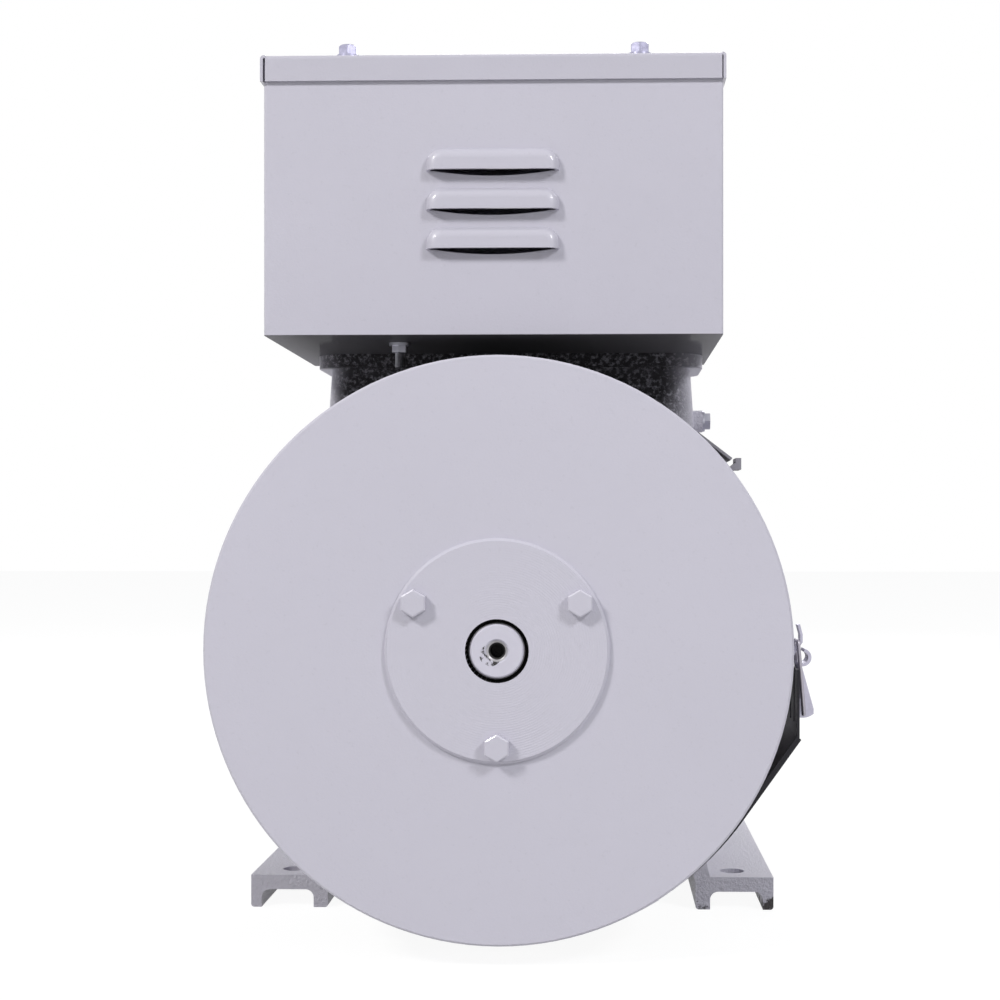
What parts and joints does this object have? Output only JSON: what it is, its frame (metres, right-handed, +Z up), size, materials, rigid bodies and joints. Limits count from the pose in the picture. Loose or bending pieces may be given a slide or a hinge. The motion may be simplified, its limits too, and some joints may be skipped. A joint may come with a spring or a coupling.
{
  "type": "generator alternator head",
  "caption": "Foot-mounted brush alternator head with a flat round end shield, top terminal box with pressed louvres and lid, cooling guard with a draw latch, and a keyed shaft.",
  "frame": {"origin": "on the floor that the feet stand on, midway between the four foot bolt holes and under the shaft line", "axes": "+Z up; +Y along the shaft towards the drive end; +X to the right when facing the closed rear end"},
  "size_m": [0.3379, 0.5683, 0.5118],
  "materials": {
    "cast_paint": "semi-gloss light grey paint on a rough casting",
    "machined_paint": "semi-gloss light grey paint on a turned face",
    "sheet_paint": "semi-gloss light grey paint on sheet steel",
    "painted_bolt": "painted over with the housing",
    "black_sheet": "black painted sheet",
    "zinc": "bright zinc plate",
    "latch_steel": "dull zinc plated pressing",
    "bearing_steel": "ground steel",
    "spring_steel": "spring steel",
    "shaft_steel": "turned steel, painted rear end",
    "lamination": "varnished laminations",
    "copper": "varnished copper windings",
    "fan_alloy": "cast light alloy",
    "insulator": "moulded insulating compound",
    "slip_brass": "turned brass",
    "carbon": "carbon graphite",
    "rubber_seal": "soft black rubber"
  },
  "bodies": {
    "frame": {"frame_casting": "cast_paint", "earth_screw": "zinc", "rear_end_bracket": "machined_paint", "rear_bracket_bolts": "painted_bolt", "rear_cap_bolts": "painted_bolt", "rear_bearing_outer_race": "bearing_steel", "rear_bearing_shields": "rubber_seal", "drive_bearing_outer_race": "bearing_steel", "drive_bearing_shields": "rubber_seal", "rear_inner_cap": "cast_paint", "drive_inner_cap": "cast_paint", "preload_wave_washer": "spring_steel", "drive_end_bracket": "cast_paint", "drive_bracket_bolts": "painted_bolt", "drive_cap_bolts": "painted_bolt", "stator_core": "lamination", "stator_winding": "copper", "brush_rocker": "insulator", "rocker_pillars": "zinc", "brush_spring_1": "spring_steel", "brush_spring_2": "spring_steel", "terminal_box": "sheet_paint", "box_lid": "sheet_paint", "lid_gasket": "rubber_seal", "lid_bolts": "zinc", "box_floor_bolts": "zinc", "earth_stud": "zinc", "earth_stud_nut": "zinc", "cable_grommet": "rubber_seal", "terminal_board": "insulator", "terminal_studs": "slip_brass", "rectifier_bridge": "insulator", "rectifier_tabs": "zinc", "guard_upper": "sheet_paint", "guard_top_strip": "sheet_paint", "guard_lower": "black_sheet", "latch_plate": "black_sheet", "latch_base": "latch_steel", "latch_pivot_rivets": "latch_steel", "latch_keeper": "latch_steel"},
    "rotor": {"shaft": "shaft_steel", "shaft_key": "shaft_steel", "rotor_core": "lamination", "rotor_coils": "copper", "cooling_fan": "fan_alloy", "slip_ring_hub": "insulator", "slip_rings": "slip_brass", "rear_bearing_inner_race": "bearing_steel", "drive_bearing_inner_race": "bearing_steel"},
    "brush_one": {"brush_1": "carbon"},
    "brush_two": {"brush_2": "carbon"},
    "latch_lever": {"latch_lever": "latch_steel"},
    "latch_bail": {"latch_bail": "latch_steel"}
  },
  "joints": [
    {"name": "rotor_spin", "type": "hinge", "parent": "frame", "child": "rotor", "pos_m": [0, 0, 0.17], "axis": [0, 1, 0], "continuous": true},
    {"name": "brush_one_slide", "type": "slide", "parent": "frame", "child": "brush_one", "axis": [0, 0, 1], "range_m": [0, 0.005], "stiffness_N_per_m": 400, "springref_m": -0.004, "deforming": ["brush_spring_1"]},
    {"name": "brush_two_slide", "type": "slide", "parent": "frame", "child": "brush_two", "axis": [0, 0, 1], "range_m": [0, 0.005], "stiffness_N_per_m": 400, "springref_m": -0.004, "deforming": ["brush_spring_2"]},
    {"name": "latch_lever_swing", "type": "hinge", "parent": "frame", "child": "latch_lever", "pos_m": [0.1683, -0.213, 0.1386], "axis": [0, 1, 0], "range_deg": [0, 165]},
    {"name": "latch_bail_swing", "type": "hinge", "parent": "latch_lever", "child": "latch_bail", "pos_m": [0.1689, -0.213, 0.131], "axis": [0, 1, 0], "range_deg": [-152, 0]}
  ],
  "couplings": [
    {"joint": "latch_bail_swing", "follows": "latch_lever_swing", "ratio": -0.92}
  ]
}
